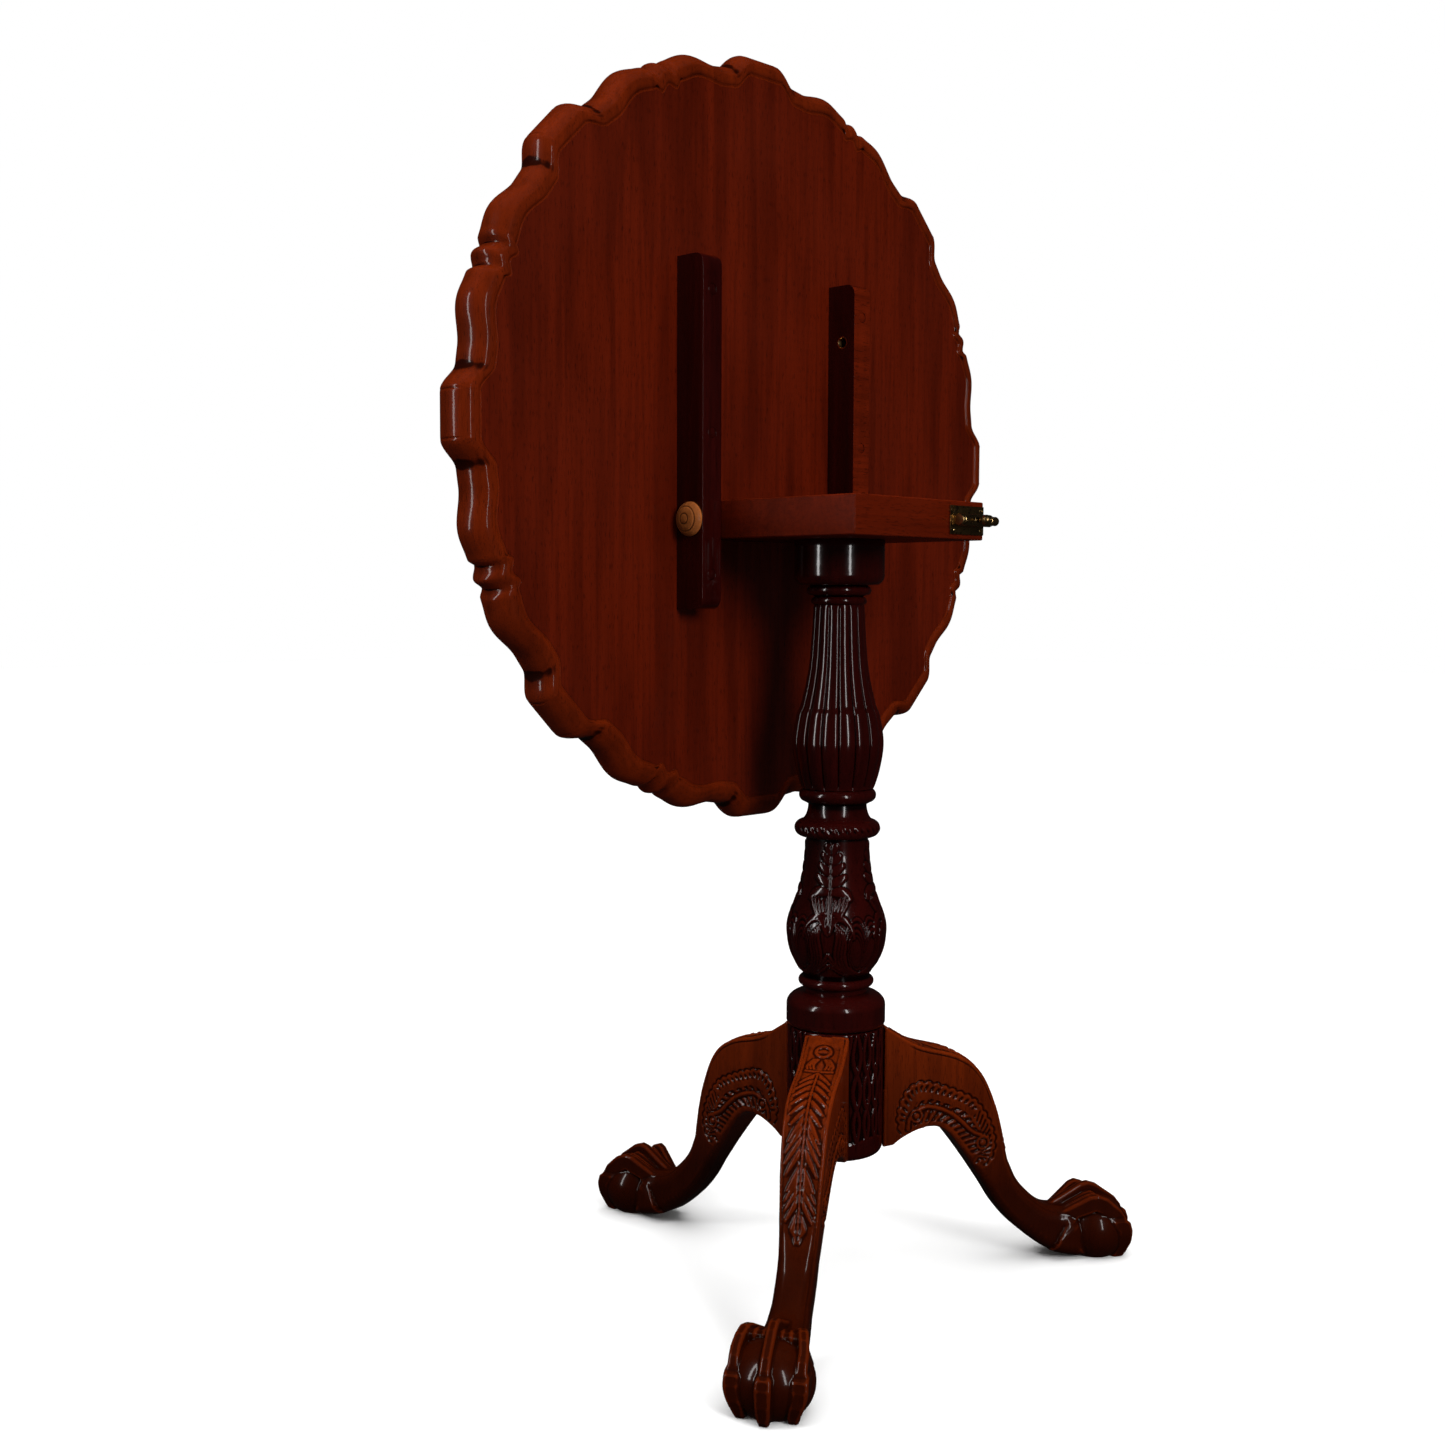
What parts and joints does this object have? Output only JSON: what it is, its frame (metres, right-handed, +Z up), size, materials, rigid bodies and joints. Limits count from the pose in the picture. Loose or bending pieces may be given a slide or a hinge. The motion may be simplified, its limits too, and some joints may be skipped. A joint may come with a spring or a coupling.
{
  "type": "tilt top table",
  "caption": "Round tripod table with a scalloped raised rim that tilts upright on a block, on a reeded and carved pillar with cabriole legs and ball-and-claw feet.",
  "frame": {"origin": "on the floor, on the axis of the pillar, in the middle of the three feet", "axes": "+Z up; +X along the hinge pins; -Y is the block's latched side, and the upright top stands on the +Y side with its upper surface facing +Y"},
  "size_m": [0.694, 0.4724, 1.1085],
  "materials": {
    "mahogany_panel": "polished, straight ribbon grain",
    "mahogany_rim": "polished, carved and moulded",
    "mahogany_block": "polished, lightly worn edges",
    "mahogany_dark": "high gloss, nearly black in the hollows",
    "mahogany_carved": "gloss, carved, darker in the cuts",
    "pale_hardwood": "satin, turned",
    "brass": "aged, satin",
    "steel": "plain",
    "blackened_iron": "matt black"
  },
  "bodies": {
    "stand": {"pillar_block": "mahogany_block", "pillar": "mahogany_dark", "tenon_wedge": "pale_hardwood", "leg_front_left": "mahogany_carved", "leg_front_right": "mahogany_carved", "leg_rear": "mahogany_carved", "base_plate": "blackened_iron", "base_plate_screws": "steel", "latch_plate": "brass", "latch_barrel": "brass", "latch_plate_screws": "brass", "latch_spring": "steel"},
    "top": {"top_panel": "mahogany_panel", "pie_crust_rim": "mahogany_rim", "batten_left": "mahogany_dark", "batten_right": "mahogany_dark", "hinge_pin_left": "pale_hardwood", "hinge_pin_right": "pale_hardwood", "batten_screws": "steel", "batten_plugs": "mahogany_dark", "keeper_ring": "brass"},
    "bolt": {"latch_bolt": "brass", "latch_knob": "brass"}
  },
  "joints": [
    {"name": "top_tilt", "type": "hinge", "parent": "stand", "child": "top", "pos_m": [0, 0.07425, 0.68725], "axis": [1, 0, 0], "range_deg": [0, 90]},
    {"name": "bolt_slide", "type": "slide", "parent": "stand", "child": "bolt", "axis": [-1, 0, 0], "range_m": [0, 0.008], "stiffness_N_per_m": 150, "springref_m": -0.004, "deforming": ["latch_spring"]}
  ]
}
